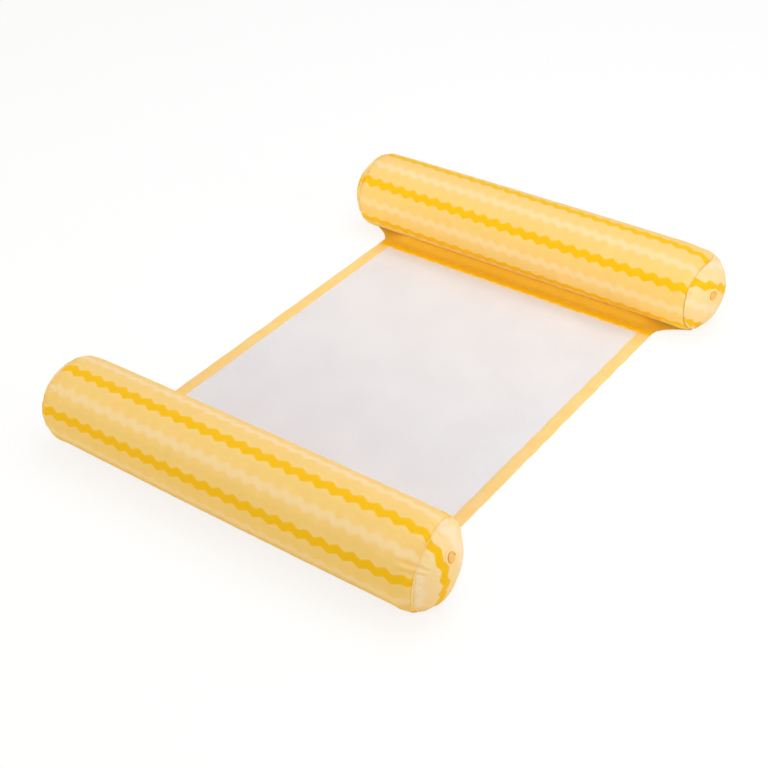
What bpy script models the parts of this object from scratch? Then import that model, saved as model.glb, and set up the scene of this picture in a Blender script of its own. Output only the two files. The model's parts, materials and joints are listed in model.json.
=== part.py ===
"""Water hammock: two fabric covered air bolsters joined by a mesh seat panel.

Metres, +Z up. +X runs along the bolsters and +Y from the front bolster to the rear one.
The origin is on the floor, under the middle of the seat panel.
"""

import math

import bmesh
import bpy
from mathutils import Matrix, Vector

# Clearance between two pieces that touch on the real object
FIT_GAP = 0.0003

# Bolster covers
BOLSTER_LENGTH = 0.900
BOLSTER_RADIUS = 0.085
SHOULDER_LENGTH = 0.022
SEAM_INSET = 0.0105
DOME_DEPTH = 0.037
COVER_THICKNESS = 0.0006
WELT_RADIUS = 0.0015

# Air bladders inside the covers
BLADDER_GAP = 0.0004
BLADDER_WALL = 0.0004

# Seat panel, from one fold line at a bolster to the other
PANEL_LENGTH = 0.832
PANEL_WIDTH = 0.680
MESH_THICKNESS = 0.0006
TAPE_THICKNESS = 0.0005
BINDING_WIDTH = 0.026
HEM_WIDTH = 0.014
MID_GAP = 0.0006

# Flanges, the fabric strips from the hems to the undersides of the bolsters
FLANGE_WIDTH = 0.050
FLANGE_THICKNESS = 0.0007
FLANGE_FLARE = 0.060
FLANGE_LIP = 0.006

# Valves, each on the right end cap of its bolster
VALVE_OFFSET = 0.032
VALVE_TURN = {"front": math.radians(85), "rear": math.radians(150)}
PLUG_RADIUS = 0.0037
PLUG_LENGTH = 0.007
PLUG_CHAMFER = 0.0006
HEAD_RADIUS = 0.0088
HEAD_THICKNESS = 0.0016
STEM_WALL = 0.0022
STEM_LENGTH = 0.015
RIM_WIDTH = 0.0033
RIM_THICKNESS = 0.0012
GUIDE_WALL = 0.0012
GUIDE_DEPTH = 0.007
COLLAR_HEIGHT = 0.0005
BASE_OVERLAP = 0.003
BASE_THICKNESS = 0.001
SEAT_GAP = 0.0006
STRAP_THICKNESS = 0.0007
STRAP_WIDTH = 0.003
STRAP_SLACK = 0.0006
FLAP_OVERLAP = 0.0014
FLAP_THICKNESS = 0.0006

# Facets
TURN_STEPS = 32
VALVE_STEPS = 20
SHOULDER_STEPS = 4
DOME_STEPS = 5
FLARE_STEPS = 8
WELT_STEPS = 6
STRAP_STEPS = 6

# Heights of the layers of the seat panel
SLOT_HEIGHT = MESH_THICKNESS + 2 * FIT_GAP
BAND_THICKNESS = SLOT_HEIGHT + 2 * TAPE_THICKNESS
FABRIC_LEVEL = BAND_THICKNESS / 2

# A flange folds a quarter turn either way in this gap without meeting its hem
HINGE_GAP = FLANGE_THICKNESS + 0.0002

# Bolster section: the flats of the faceted round lie at the nominal radius
FACET_ANGLE = 2 * math.pi / TURN_STEPS
CORNER = 1 / math.cos(FACET_ANGLE / 2)
SEAM_RADIUS = BOLSTER_RADIUS - SEAM_INSET
SEAM_PLANE = BOLSTER_LENGTH / 2 - DOME_DEPTH
DOME_RADIUS = (SEAM_RADIUS**2 + DOME_DEPTH**2) / (2 * DOME_DEPTH)
DOME_CENTRE = SEAM_PLANE + DOME_DEPTH - DOME_RADIUS

# The flange reaches in under the bolster until the cover's underside stops it
FLANGE_TOP = FABRIC_LEVEL + FLANGE_THICKNESS / 2
FLANGE_REACH = BOLSTER_RADIUS * math.tan(FACET_ANGLE / 2) + (FLANGE_TOP + FIT_GAP) / math.tan(FACET_ANGLE)
FOLD_LINE = PANEL_LENGTH / 2
AXIS_OFFSET = FOLD_LINE + HINGE_GAP / 2 + FLANGE_WIDTH + FLANGE_REACH

# Valve radii, from the plug outwards
BORE_RADIUS = PLUG_RADIUS + FIT_GAP
STEM_RADIUS = BORE_RADIUS + STEM_WALL
RIM_RADIUS = STEM_RADIUS + RIM_WIDTH
GUIDE_BORE = STEM_RADIUS + FIT_GAP
GUIDE_RADIUS = GUIDE_BORE + GUIDE_WALL
STRAP_REACH = RIM_RADIUS + FIT_GAP + STRAP_SLACK + STRAP_THICKNESS
HOLE_RADIUS = STRAP_REACH + 2 * FIT_GAP
BASE_RADIUS = HOLE_RADIUS + BASE_OVERLAP
FLAP_RADIUS = BORE_RADIUS + FLAP_OVERLAP

# Valve heights along its own axis, from the outside of the cover, stacked up from the base
BASE_SAG = BASE_RADIUS**2 / (2 * DOME_RADIUS)
BASE_TOP = -(BASE_SAG + COVER_THICKNESS + SEAT_GAP)
COLLAR_TOP = BASE_TOP + COLLAR_HEIGHT
RIM_BOTTOM = COLLAR_TOP + FIT_GAP
RIM_TOP = RIM_BOTTOM + RIM_THICKNESS
HEAD_BOTTOM = RIM_TOP + FIT_GAP
HEAD_TOP = HEAD_BOTTOM + HEAD_THICKNESS
STEM_BOTTOM = RIM_TOP - STEM_LENGTH

# Front and rear are mirror images across the middle of the seat panel
SIDES = {"front": -1, "rear": 1}
HANDS = {"left": -1, "right": 1}


def clear_scene():
    for obj in list(bpy.data.objects):
        bpy.data.objects.remove(obj, do_unlink=True)


def make_collection(name):
    collection = bpy.data.collections.new(name)
    bpy.context.scene.collection.children.link(collection)
    return collection


def make_material(name, colour, roughness):
    material = bpy.data.materials.new(name)
    material.use_nodes = True
    shader = material.node_tree.nodes["Principled BSDF"]
    shader.inputs["Base Color"].default_value = (*colour, 1)
    shader.inputs["Roughness"].default_value = roughness
    shader.inputs["Metallic"].default_value = 0
    material.diffuse_color = (*colour, 1)
    return material


def place(obj, collection, parent, material, location=(0, 0, 0), rotation=(0, 0, 0)):
    """Links an object under its parent empty, in the parent's own axes."""
    collection.objects.link(obj)
    obj.parent = parent
    obj.location = location
    obj.rotation_euler = rotation
    if material is not None:
        obj.data.materials.append(material)
    return obj


def make_empty(name, collection, parent, location, rotation=(0, 0, 0)):
    empty = bpy.data.objects.new(name, None)
    empty.empty_display_size = 0.02
    return place(empty, collection, parent, None, location, rotation)


def mesh_object(name, bm):
    mesh = bpy.data.meshes.new(name)
    bm.to_mesh(mesh)
    bm.free()
    return bpy.data.objects.new(name, mesh)


def turned(name, profile, steps, closed):
    """A profile of (radius, height) points turned about Z. It runs down its outer side."""
    bm = bmesh.new()
    points = [bm.verts.new((radius, 0, height)) for radius, height in profile]
    following = points[1:] + points[:1] if closed else points[1:]
    for first, second in zip(points, following):
        bm.edges.new((first, second))
    obj = mesh_object(name, bm)
    screw = obj.modifiers.new("Turn", "SCREW")
    screw.angle = 2 * math.pi
    screw.steps = steps
    screw.render_steps = steps
    screw.use_merge_vertices = True
    screw.merge_threshold = 0.00001
    screw.use_smooth_shade = True
    return obj


def thicken(obj, thickness):
    """Gives an open skin its thickness, inwards from its outer face."""
    wall = obj.modifiers.new("Wall", "SOLIDIFY")
    wall.thickness = thickness
    wall.offset = -1
    wall.use_even_offset = True
    return obj


def cut(obj, cutter):
    hole = obj.modifiers.new("Hole", "BOOLEAN")
    hole.operation = "DIFFERENCE"
    hole.object = cutter


def outline_strip(name, points, length):
    """A flat outline in the local XY plane, extruded evenly both ways along local Z."""
    curve = bpy.data.curves.new(name, "CURVE")
    curve.dimensions = "2D"
    curve.fill_mode = "BOTH"
    curve.extrude = length / 2
    spline = curve.splines.new("POLY")
    spline.points.add(len(points) - 1)
    for point, (across, up) in zip(spline.points, points):
        point.co = (across, up, 0, 1)
    spline.use_cyclic_u = True
    return bpy.data.objects.new(name, curve)


def slab(name, low, high):
    """A flat rectangular sheet between two corners."""
    low = Vector(low)
    high = Vector(high)
    bm = bmesh.new()
    bmesh.ops.create_cube(bm, size=1)
    bmesh.ops.scale(bm, vec=high - low, verts=bm.verts)
    bmesh.ops.translate(bm, vec=(low + high) / 2, verts=bm.verts)
    return mesh_object(name, bm)


def shoulder(radius, inner_radius, end):
    """The quarter ellipse by which a sleeve rolls in to its end seam, seam first."""
    points = []
    for step in range(SHOULDER_STEPS + 1):
        angle = math.pi / 2 * (1 - step / SHOULDER_STEPS)
        start = SEAM_PLANE - SHOULDER_LENGTH
        height = start + (end - start) * math.sin(angle)
        points.append((inner_radius + (radius - inner_radius) * math.cos(angle), height))
    return points


def dome(radius, rim_radius):
    """The arc of an end cap, from its middle to its rim. All share one centre."""
    rim_angle = math.asin(rim_radius / radius)
    points = []
    for step in range(DOME_STEPS + 1):
        angle = rim_angle * step / DOME_STEPS
        points.append((radius * math.sin(angle), DOME_CENTRE + radius * math.cos(angle)))
    return points


def widened(profile):
    """Moves the corners of a faceted round out, so that its flats keep the given radius."""
    return [(radius * CORNER, height) for radius, height in profile]


def mirrored(profile):
    """A right-hand profile followed by its left-hand mirror image, from top to bottom."""
    return profile + [(radius, -height) for radius, height in reversed(profile)]


def make_sleeve(side, collection, axis, material):
    half = shoulder(BOLSTER_RADIUS, SEAM_RADIUS, SEAM_PLANE)
    sleeve = turned(f"{side}_sleeve", widened(mirrored(half)), TURN_STEPS, closed=False)
    thicken(sleeve, COVER_THICKNESS)
    return place(sleeve, collection, axis, material)


def make_cap(side, hand, collection, axis, material):
    """A domed end cap. Its rim stops just short of the sleeve's turned-in edge."""
    profile = dome(DOME_RADIUS, SEAM_RADIUS - FIT_GAP)
    cap = turned(f"{side}_{hand}_cap", widened(profile), TURN_STEPS, closed=False)
    thicken(cap, COVER_THICKNESS)
    flip = math.pi if hand == "left" else 0
    return place(cap, collection, axis, material, rotation=(flip, 0, 0))


def make_welt(side, hand, collection, axis, material):
    """The corded welt that lies in the valley between a sleeve and its end cap."""
    rim_angle = math.asin(SEAM_RADIUS / DOME_RADIUS)
    half_valley = (math.pi - rim_angle) / 2
    reach = (WELT_RADIUS + FIT_GAP) / math.sin(half_valley)
    bpy.ops.mesh.primitive_torus_add(
        major_segments=TURN_STEPS,
        minor_segments=WELT_STEPS,
        major_radius=(SEAM_RADIUS + reach * math.cos(half_valley)) * CORNER,
        minor_radius=WELT_RADIUS,
    )
    welt = bpy.context.object
    welt.name = f"{side}_{hand}_welt"
    welt.data.name = welt.name
    for home in list(welt.users_collection):
        home.objects.unlink(welt)
    height = SEAM_PLANE + reach * math.sin(half_valley)
    return place(welt, collection, axis, material, location=(0, 0, HANDS[hand] * height))


def make_bladder(side, collection, axis, material):
    """The air bladder, one skin that fills the sleeve and both caps."""
    inset = COVER_THICKNESS + BLADDER_GAP
    radius = DOME_RADIUS - inset
    end = SEAM_PLANE - inset
    rim = math.sqrt(radius**2 - (end - DOME_CENTRE) ** 2)
    half = dome(radius, rim)[:-1] + shoulder(BOLSTER_RADIUS - inset, rim, end)
    bladder = turned(f"{side}_bladder", widened(mirrored(half)), TURN_STEPS, closed=False)
    thicken(bladder, BLADDER_WALL)
    return place(bladder, collection, axis, material)


def make_flange(side, collection, hinge, material):
    """The strip from the hem to the underside of the bolster, with hollowed ends."""
    half_width = PANEL_WIDTH / 2
    curved = FLANGE_WIDTH - FLANGE_LIP
    right = []
    for step in range(FLARE_STEPS + 1):
        angle = math.pi / 2 * step / FLARE_STEPS
        across = half_width + FLANGE_FLARE * (1 - math.cos(angle))
        right.append((across, HINGE_GAP / 2 + curved * math.sin(angle)))
    right.append((half_width + FLANGE_FLARE, HINGE_GAP / 2 + FLANGE_WIDTH))
    points = right + [(-across, out) for across, out in reversed(right)]
    outline = [(across, SIDES[side] * out) for across, out in points]
    flange = outline_strip(f"{side}_flange", outline, FLANGE_THICKNESS)
    return place(flange, collection, hinge, material)


def folded_outline(width):
    """The section of a tape folded over an edge, with the slot that takes the edge.

    It runs from the open side at 0 to the fold at the given width, with its height from 0.
    """
    slot_low = TAPE_THICKNESS
    slot_high = TAPE_THICKNESS + SLOT_HEIGHT
    slot_end = width - TAPE_THICKNESS
    return [
        (0, 0),
        (width, 0),
        (width, BAND_THICKNESS),
        (0, BAND_THICKNESS),
        (0, slot_high),
        (slot_end, slot_high),
        (slot_end, slot_low),
        (0, slot_low),
    ]


def make_hem(side, collection, parent, origin, material):
    """The hem tape, folded over the end of the mesh and sewn to the flange."""
    width = HEM_WIDTH - HINGE_GAP / 2
    start = FOLD_LINE - HEM_WIDTH
    points = [(SIDES[side] * (start + along), up) for along, up in folded_outline(width)]
    hem = outline_strip(f"{side}_hem", points, PANEL_WIDTH)
    turn = (math.pi / 2, 0, math.pi / 2)
    return place(hem, collection, parent, material, location=-origin, rotation=turn)


def make_binding(side, hand, collection, parent, origin, material):
    """The edge binding, folded over one side of the mesh."""
    start = PANEL_WIDTH / 2 - BINDING_WIDTH
    outline = folded_outline(BINDING_WIDTH)
    points = [(HANDS[hand] * (start + across), up) for across, up in outline]
    near = MID_GAP / 2
    far = FOLD_LINE - HEM_WIDTH - FIT_GAP
    binding = outline_strip(f"{side}_{hand}_binding", points, far - near)
    middle = Vector((0, SIDES[side] * (near + far) / 2, 0))
    turn = (math.pi / 2, 0, 0)
    return place(binding, collection, parent, material, location=middle - origin, rotation=turn)


def make_mesh_half(side, collection, parent, origin, material):
    """Half of the seat mesh, with its edges tucked into the bindings and the hem."""
    tuck = TAPE_THICKNESS + FIT_GAP
    half_width = PANEL_WIDTH / 2 - tuck
    near = SIDES[side] * MID_GAP / 2
    far = SIDES[side] * (FOLD_LINE - HINGE_GAP / 2 - tuck)
    level = FABRIC_LEVEL - MESH_THICKNESS / 2
    low = (-half_width, min(near, far), level)
    high = (half_width, max(near, far), level + MESH_THICKNESS)
    mesh = slab(f"{side}_mesh", low, high)
    return place(mesh, collection, parent, material, location=-origin)


def valve_frame(side, collection, axis):
    """An empty on the right end cap, with its Z straight out of the cap and its X up the cap."""
    # Under the bolster's axis empty, Z runs along the bolster and X points down
    up = Vector((-1, 0, 0))
    around = VALVE_TURN[side] + math.pi / 2
    tilt = math.asin(VALVE_OFFSET / DOME_RADIUS)
    outward = Vector((math.cos(around), math.sin(around), 0))
    normal = outward * math.sin(tilt) + Vector((0, 0, math.cos(tilt)))
    rise = (up - normal * up.dot(normal)).normalized()
    turn = Matrix((rise, normal.cross(rise), normal)).transposed().to_euler()
    location = normal * DOME_RADIUS + Vector((0, 0, DOME_CENTRE))
    return make_empty(f"{side}_valve_axis", collection, axis, location, turn)


def make_cutter(name, radius, depth, collection, frame):
    """A round punch along a valve's axis, reaching the given depth either way."""
    bm = bmesh.new()
    bmesh.ops.create_cone(
        bm, cap_ends=True, segments=VALVE_STEPS, radius1=radius, radius2=radius, depth=2 * depth
    )
    cutter = mesh_object(name, bm)
    cutter.hide_render = True
    cutter.display_type = "WIRE"
    return place(cutter, collection, frame, None)


def make_valve_base(side, collection, frame, material):
    """The ring welded into the bladder, with the guide that the stem slides in."""
    base_bottom = BASE_TOP - BASE_THICKNESS
    guide_bottom = BASE_TOP - GUIDE_DEPTH
    profile = [
        (GUIDE_RADIUS, COLLAR_TOP),
        (GUIDE_RADIUS, BASE_TOP),
        (BASE_RADIUS, BASE_TOP),
        (BASE_RADIUS, base_bottom),
        (GUIDE_RADIUS, base_bottom),
        (GUIDE_RADIUS, guide_bottom),
        (GUIDE_BORE, guide_bottom),
        (GUIDE_BORE, COLLAR_TOP),
    ]
    base = turned(f"{side}_valve_base", profile, VALVE_STEPS, closed=True)
    return place(base, collection, frame, material)


def make_valve_stem(side, collection, frame, material):
    """The nozzle, which pushes in until its rim rests on the base's collar."""
    profile = [
        (RIM_RADIUS, RIM_TOP),
        (RIM_RADIUS, RIM_BOTTOM),
        (STEM_RADIUS, RIM_BOTTOM),
        (STEM_RADIUS, STEM_BOTTOM),
        (BORE_RADIUS, STEM_BOTTOM),
        (BORE_RADIUS, RIM_TOP),
    ]
    stem = turned(f"{side}_valve_stem", profile, VALVE_STEPS, closed=True)
    return place(stem, collection, frame, material)


def make_valve_plug(side, collection, frame, material):
    """The stopper, pressed into the stem's bore."""
    plug_bottom = HEAD_BOTTOM - PLUG_LENGTH
    profile = [
        (0, HEAD_TOP),
        (HEAD_RADIUS - PLUG_CHAMFER, HEAD_TOP),
        (HEAD_RADIUS, HEAD_TOP - PLUG_CHAMFER),
        (HEAD_RADIUS, HEAD_BOTTOM),
        (PLUG_RADIUS, HEAD_BOTTOM),
        (PLUG_RADIUS, plug_bottom + PLUG_CHAMFER),
        (PLUG_RADIUS - PLUG_CHAMFER, plug_bottom),
        (0, plug_bottom),
    ]
    plug = turned(f"{side}_valve_plug", profile, VALVE_STEPS, closed=False)
    return place(plug, collection, frame, material)


def make_valve_strap(side, collection, frame, material):
    """The hairpin strap that keeps the plug on the stem, bent back over the rim's edge."""
    rim_level = (RIM_BOTTOM + RIM_TOP) / 2
    head_level = (HEAD_BOTTOM + HEAD_TOP) / 2
    middle = (rim_level + head_level) / 2
    centre = RIM_RADIUS + FIT_GAP
    half_height = (head_level - rim_level + STRAP_THICKNESS) / 2
    outer = []
    inner = []
    for step in range(STRAP_STEPS + 1):
        angle = math.pi * (step / STRAP_STEPS - 0.5)
        bulge = STRAP_THICKNESS + STRAP_SLACK
        outer.append((centre + bulge * math.cos(angle), middle + half_height * math.sin(angle)))
        lower = half_height - STRAP_THICKNESS
        inner.append((centre + STRAP_SLACK * math.cos(angle), middle + lower * math.sin(angle)))
    tip = HEAD_RADIUS + FIT_GAP
    points = outer + [(tip, outer[-1][1]), (tip, inner[-1][1])] + inner[::-1]
    strap = outline_strip(f"{side}_valve_strap", points, STRAP_WIDTH)
    turn = (math.pi / 2, 0, -math.pi / 2)
    return place(strap, collection, frame, material, rotation=turn)


def make_valve_flap(side, collection, frame, material):
    """The check flap under the stem's bore. Its origin is on its hinge, at its edge."""
    bm = bmesh.new()
    bmesh.ops.create_cone(
        bm,
        cap_ends=True,
        segments=VALVE_STEPS,
        radius1=FLAP_RADIUS,
        radius2=FLAP_RADIUS,
        depth=FLAP_THICKNESS,
    )
    bmesh.ops.translate(bm, vec=(-FLAP_RADIUS, 0, -FLAP_THICKNESS / 2), verts=bm.verts)
    flap = mesh_object(f"{side}_valve_flap", bm)
    hinge = (FLAP_RADIUS, 0, STEM_BOTTOM - FIT_GAP)
    return place(flap, collection, frame, material, location=hinge)


def make_bolster(side, parts, cutters, parent, origin, materials):
    """One bolster with its flange and valve, carried by an empty on its fold line."""
    sign = SIDES[side]
    fold = Vector((0, sign * FOLD_LINE, FABRIC_LEVEL))
    hinge = make_empty(f"{side}_fold_line", parts, parent, fold - origin)
    make_flange(side, parts, hinge, materials["fabric"])
    centre = Vector((0, sign * AXIS_OFFSET, BOLSTER_RADIUS))
    axis = make_empty(f"{side}_bolster_axis", parts, hinge, centre - fold)
    # Z along the bolster, and a half facet of turn that puts a flat on the floor
    axis.rotation_euler = (0, math.pi / 2, 0)
    spin = make_empty(f"{side}_bolster_facets", parts, axis, (0, 0, 0), (0, 0, FACET_ANGLE / 2))
    make_sleeve(side, parts, spin, materials["fabric"])
    caps = {hand: make_cap(side, hand, parts, spin, materials["fabric"]) for hand in HANDS}
    for hand in HANDS:
        make_welt(side, hand, parts, spin, materials["welt"])
    bladder = make_bladder(side, parts, spin, materials["bladder"])
    frame = valve_frame(side, parts, axis)
    deep = GUIDE_DEPTH + BASE_THICKNESS
    cut(caps["right"], make_cutter(f"{side}_cover_punch", HOLE_RADIUS, deep, cutters, frame))
    weld_radius = BASE_RADIUS + FIT_GAP
    cut(bladder, make_cutter(f"{side}_bladder_punch", weld_radius, deep, cutters, frame))
    make_valve_base(side, parts, frame, materials["valve"])
    make_valve_stem(side, parts, frame, materials["valve"])
    make_valve_plug(side, parts, frame, materials["valve"])
    make_valve_strap(side, parts, frame, materials["valve"])
    make_valve_flap(side, parts, frame, materials["valve"])


def make_panel_half(side, parts, parent, origin, materials):
    """The front or rear half of the seat panel: mesh, hem and two edge bindings."""
    make_mesh_half(side, parts, parent, origin, materials["mesh"])
    make_hem(side, parts, parent, origin, materials["fabric"])
    for hand in HANDS:
        make_binding(side, hand, parts, parent, origin, materials["binding"])


def main():
    clear_scene()
    parts = make_collection("water_hammock")
    cutters = make_collection("cutters")
    materials = {
        "fabric": make_material("printed_fabric", (0.92, 0.62, 0.20), 0.75),
        "welt": make_material("seam_welt", (0.95, 0.68, 0.24), 0.7),
        "binding": make_material("edge_binding", (0.93, 0.60, 0.18), 0.75),
        "mesh": make_material("seat_mesh", (0.82, 0.78, 0.80), 0.8),
        "bladder": make_material("bladder_vinyl", (0.86, 0.88, 0.90), 0.35),
        "valve": make_material("valve_vinyl", (0.92, 0.72, 0.38), 0.35),
    }
    # The front half is held; the rear half folds up about the top of the panel's middle
    middle = {
        "front": Vector((0, 0, 0)),
        "rear": Vector((0, 0, BAND_THICKNESS)),
    }
    for side in SIDES:
        origin = middle[side]
        panel = make_empty(f"{side}_panel_middle", parts, None, origin)
        make_panel_half(side, parts, panel, origin, materials)
        make_bolster(side, parts, cutters, panel, origin, materials)
    bpy.context.view_layer.update()


main()
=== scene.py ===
# %% [markdown]
# # A water hammock
# Two long air bolsters, dressed in printed cloth, hold a flat net between them. The solids of the part
# are already packed, and this script dresses them: it loads them as a fixed frame, makes every cloth
# and moulded piece again with the detail that shows, and tells the pieces that ride on one body which
# body they move with.

# %% Load the frame
import json
import math
import random
from collections import namedtuple

import bmesh
import bpy
import numpy as np
from mathutils import Matrix, Vector


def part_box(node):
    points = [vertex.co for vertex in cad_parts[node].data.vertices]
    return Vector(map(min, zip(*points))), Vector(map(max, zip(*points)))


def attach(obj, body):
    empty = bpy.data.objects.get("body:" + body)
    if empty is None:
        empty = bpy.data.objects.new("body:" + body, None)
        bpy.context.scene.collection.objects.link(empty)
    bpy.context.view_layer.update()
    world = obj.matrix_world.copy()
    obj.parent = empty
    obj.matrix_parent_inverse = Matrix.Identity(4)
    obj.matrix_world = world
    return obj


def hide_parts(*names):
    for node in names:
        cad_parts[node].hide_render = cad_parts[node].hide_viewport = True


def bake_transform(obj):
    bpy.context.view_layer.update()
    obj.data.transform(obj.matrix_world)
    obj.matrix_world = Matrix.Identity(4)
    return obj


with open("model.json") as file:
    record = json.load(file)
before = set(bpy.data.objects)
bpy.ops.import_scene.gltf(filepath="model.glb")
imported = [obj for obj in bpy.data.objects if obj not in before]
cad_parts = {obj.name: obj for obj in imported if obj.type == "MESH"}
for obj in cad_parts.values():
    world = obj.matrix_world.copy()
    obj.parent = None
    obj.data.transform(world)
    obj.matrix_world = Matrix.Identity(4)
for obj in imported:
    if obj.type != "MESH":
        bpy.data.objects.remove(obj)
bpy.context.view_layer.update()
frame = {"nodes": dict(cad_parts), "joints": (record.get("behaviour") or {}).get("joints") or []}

# %% [markdown]
# ## The camera first
# A camera that is matched to a photograph is worth making before anything else, because every later
# choice is judged through it. This one looks down from the front right. Its place is worked out from
# two angles, a distance and the point it looks at, and its roll is a small turn about its own axis.

# %% Camera
AZIMUTH = math.radians(37.768)
ELEVATION = math.radians(36.251)
ROLL = math.radians(-2.595)
DISTANCE = 2.6638
TARGET = Vector((0.0556, -0.1321, 0.085))
FRAME_PIXELS = 768
FOCAL_PIXELS = 1415.2
SENSOR = 36.0


def into_scene(name, data):
    """Makes an object of some data and puts it in the scene."""
    made = bpy.data.objects.new(name, data)
    bpy.context.scene.collection.objects.link(made)
    return made


def make_camera():
    back = Vector((
        math.sin(AZIMUTH) * math.cos(ELEVATION),
        -math.cos(AZIMUTH) * math.cos(ELEVATION),
        math.sin(ELEVATION),
    ))
    right = Vector((0, 0, 1)).cross(back).normalized()
    up = back.cross(right)
    axes = Matrix((right, up, back)).transposed().to_4x4()
    data = bpy.data.cameras.new("photo_camera")
    data.sensor_width = SENSOR
    data.lens = FOCAL_PIXELS / FRAME_PIXELS * SENSOR
    camera = into_scene("photo_camera", data)
    eye = Matrix.Translation(TARGET + back * DISTANCE)
    camera.matrix_world = eye @ axes @ Matrix.Rotation(ROLL, 4, "Z")
    bpy.context.scene.camera = camera
    return camera


camera = make_camera()
print("camera at", [round(v, 3) for v in camera.matrix_world.translation])

# %% [markdown]
# ## Sizes
# The frame already knows every size, so most values are read from its boxes. What the frame leaves out
# is given by name: how far the tube's ends roll in to the seam, and how much fuller its middle is.

# %% Sizes from the frame
SIDES = {"front": -1, "rear": 1}
HANDS = {"left": -1, "right": 1}

sleeve_low, sleeve_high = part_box("front_sleeve")
cap_low, cap_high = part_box("front_right_cap")
mesh_low, mesh_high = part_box("front_mesh")
hem_low, hem_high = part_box("front_hem")
tape_low, tape_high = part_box("front_right_binding")
strip_low, strip_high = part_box("front_flange")

RADIUS = (sleeve_high.z - sleeve_low.z) / 2
AXIS_Y = -(sleeve_low.y + sleeve_high.y) / 2
AXIS_Z = (sleeve_low.z + sleeve_high.z) / 2
END_X = cap_high.x
SEAM_PLANE = sleeve_high.x
RIM_RADIUS = (cap_high.z - cap_low.z) / 2
SHOULDER = 0.022
DOME_DEPTH = END_X - SEAM_PLANE
DOME_RADIUS = (RIM_RADIUS**2 + DOME_DEPTH**2) / (2 * DOME_DEPTH)
DOME_CENTRE = END_X - DOME_RADIUS
SWELL = 0.015

print(f"bolster radius {RADIUS:.4f}, axis at y {AXIS_Y:.4f}, dome radius {DOME_RADIUS:.4f}")

# %% [markdown]
# ## A plain bright room
# The photograph is a cut-out on white, so the floor is white too and only the soft shadow under the
# bolsters is left. The camera sees a floor that glows over a dim surface, and far away it fades into a
# plain white backdrop. Everything else sees a warm white surface, which throws light up on to the cloth.
# There are four soft boxes: a cool one above, a neutral one at the right, a warm one low in front, and a
# narrow one that reaches in under the rear bolster. They are weak enough that a colour comes out about
# as it was chosen.

# %% One class for shader maths, one method for nodes


class Number:
    """A node's output, on which Python's own signs add Math nodes."""

    def __init__(self, finish, socket):
        self.finish = finish
        self.socket = socket

    def maths(self, operation, *others):
        return self.finish.maths(operation, self, *others)

    def __abs__(self):
        return self.maths("ABSOLUTE")

    def wave(self):
        """A sine wave between 0 and 1."""
        return self.maths("SINE") * 0.5 + 0.5

    def fold(self, length):
        """Runs from 0 up to a length and back again, for ever."""
        return self.maths("PINGPONG", length)

    def rise(self, low, high):
        """0 below low, 1 above high, and a soft step between."""
        return self.finish.node(
            "MapRange",
            {"interpolation_type": "SMOOTHSTEP"},
            {"Value": self, "From Min": low, "From Max": high},
        )

    def stripe(self, width, softness):
        """1 where the value is within half a width of 0, with soft edges."""
        return 1 - abs(self).rise(width / 2 - softness, width / 2 + softness)


def teach_sign(name, operation):
    """Teaches Number one of Python's signs, with the Number on its left or on its right."""
    setattr(Number, f"__{name}__", lambda number, other: number.finish.maths(operation, number, other))
    setattr(Number, f"__r{name}__", lambda number, other: number.finish.maths(operation, other, number))


teach_sign("add", "ADD")
teach_sign("sub", "SUBTRACT")
teach_sign("mul", "MULTIPLY")
teach_sign("truediv", "DIVIDE")


class Finish:
    """A material that is being built."""

    def __init__(self, name, roughness, **sockets):
        self.material = bpy.data.materials.new(name)
        self.material.use_nodes = True
        self.tree = self.material.node_tree
        self.shader = self.tree.nodes["Principled BSDF"]
        self.set(Roughness=roughness, **sockets)

    def set(self, **sockets):
        """Gives the shader's sockets their values or links. A space in a name is written as _."""
        for name, value in sockets.items():
            self.plug(value, self.shader.inputs[name.replace("_", " ")])

    def plug(self, value, socket):
        if isinstance(value, Number):
            self.tree.links.new(value.socket, socket)
        else:
            socket.default_value = value

    def node(self, kind, settings=None, values=None, output=0):
        """Adds one node: its settings first, then its sockets."""
        made = self.tree.nodes.new("ShaderNode" + kind)
        for name, setting in (settings or {}).items():
            setattr(made, name, setting)
        for name, value in (values or {}).items():
            self.plug(value, made.inputs[name])
        return Number(self, made.outputs[output])

    def maths(self, operation, *values):
        return self.node("Math", {"operation": operation}, dict(enumerate(values)))

    def mix(self, mask, first, second):
        """The first colour where the mask is 0, the second where it is 1."""
        return self.node("Mix", {"data_type": "RGBA"}, {0: mask, 6: first, 7: second}, output=2)

    def parts(self, vector):
        """A vector's three numbers."""
        split = self.tree.nodes.new("ShaderNodeSeparateXYZ")
        self.plug(vector, split.inputs[0])
        return [Number(self, output) for output in split.outputs]

    def place(self):
        return self.node("TexCoord", output=3)

    def cloth_map(self):
        return self.node("UVMap", {"uv_map": MAP_NAME})

    def noise(self, vector, scale, detail=2.0):
        return self.node("TexNoise", {}, {"Vector": vector, "Scale": scale, "Detail": detail})

    def relief(self, height, distance):
        """Turns a height from 0 to 1 into the shader's normal."""
        self.set(Normal=self.node("Bump", {}, {"Height": height, "Distance": distance, "Strength": 1.0}))


MAP_NAME = "cloth"


def colour(red, green, blue):
    """A colour as a screen names it, 0 to 255, in the linear values that nodes use."""
    linear = []
    for value in (red, green, blue):
        share = value / 255
        linear.append(share / 12.92 if share <= 0.04045 else ((share + 0.055) / 1.055) ** 2.4)
    return (*linear, 1)


print("shader helpers ready")


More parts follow.
